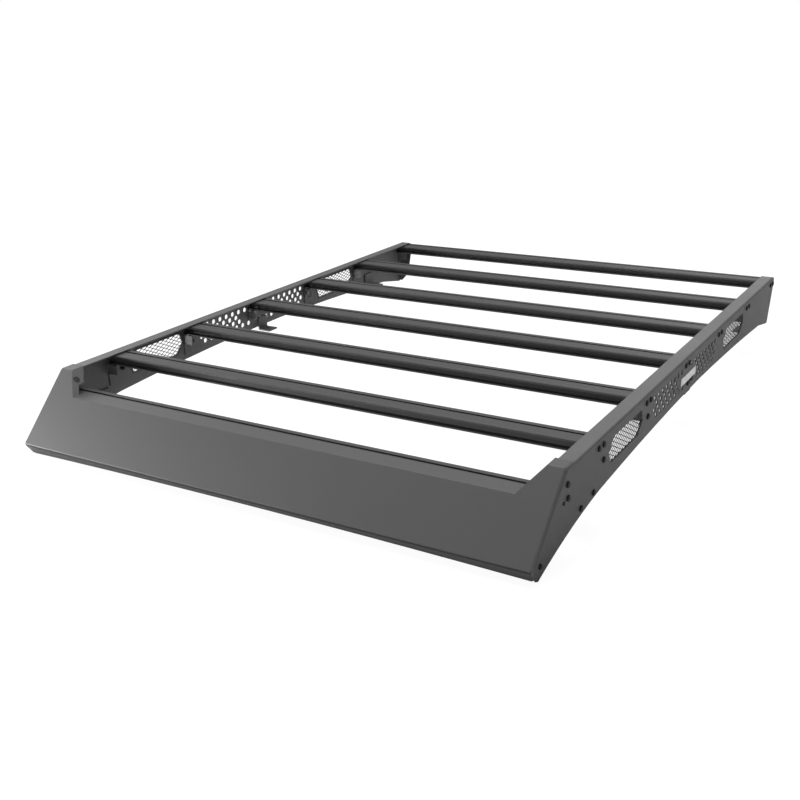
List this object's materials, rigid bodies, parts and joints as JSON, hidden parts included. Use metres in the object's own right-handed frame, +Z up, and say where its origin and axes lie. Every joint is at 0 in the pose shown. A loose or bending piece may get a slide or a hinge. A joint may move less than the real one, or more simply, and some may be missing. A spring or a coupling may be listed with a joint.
{
  "type": "roof rack",
  "caption": "Low-profile platform roof rack: bent side panels with mesh windows carry slotted cross bars behind a sloped front fairing.",
  "frame": {"origin": "middle of the footprint, on the floor that the front tips and the rear feet stand near", "axes": "X across the rack, with the side that carries the bare plate at +X; +Y from the fairing to the rear; +Z up"},
  "size_m": [1.2715, 1.7264, 0.1705],
  "materials": {
    "sheet_coat": "black powder coat with a fine texture, satin",
    "fairing_coat": "black powder coat with a fine texture, satin",
    "bar_coat": "extruded bar, black powder coat, satin, faint draw lines",
    "mesh_coat": "expanded metal, black coat, satin",
    "plate_metal": "bare brushed plate"
  },
  "bodies": {
    "root": {"left_side_panel": "sheet_coat", "left_front_mesh": "mesh_coat", "left_rear_mesh": "mesh_coat", "left_front_mount": "sheet_coat", "left_middle_mount": "sheet_coat", "left_rear_mount": "sheet_coat", "left_gusset_1": "sheet_coat", "left_gusset_2": "sheet_coat", "left_gusset_3": "sheet_coat", "left_gusset_4": "sheet_coat", "left_gusset_5": "sheet_coat", "left_gusset_6": "sheet_coat", "right_side_panel": "sheet_coat", "right_front_mesh": "mesh_coat", "right_rear_mesh": "mesh_coat", "right_front_mount": "sheet_coat", "right_middle_mount": "sheet_coat", "right_rear_mount": "sheet_coat", "right_gusset_1": "sheet_coat", "right_gusset_2": "sheet_coat", "right_gusset_3": "sheet_coat", "right_gusset_4": "sheet_coat", "right_gusset_5": "sheet_coat", "right_gusset_6": "sheet_coat", "front_fairing": "fairing_coat", "front_cross_bar": "bar_coat", "cross_bar_1": "bar_coat", "cross_bar_2": "bar_coat", "cross_bar_3": "bar_coat", "cross_bar_4": "bar_coat", "cross_bar_5": "bar_coat", "cross_bar_6": "bar_coat", "plain_plate": "plate_metal"}
  },
  "joints": []
}
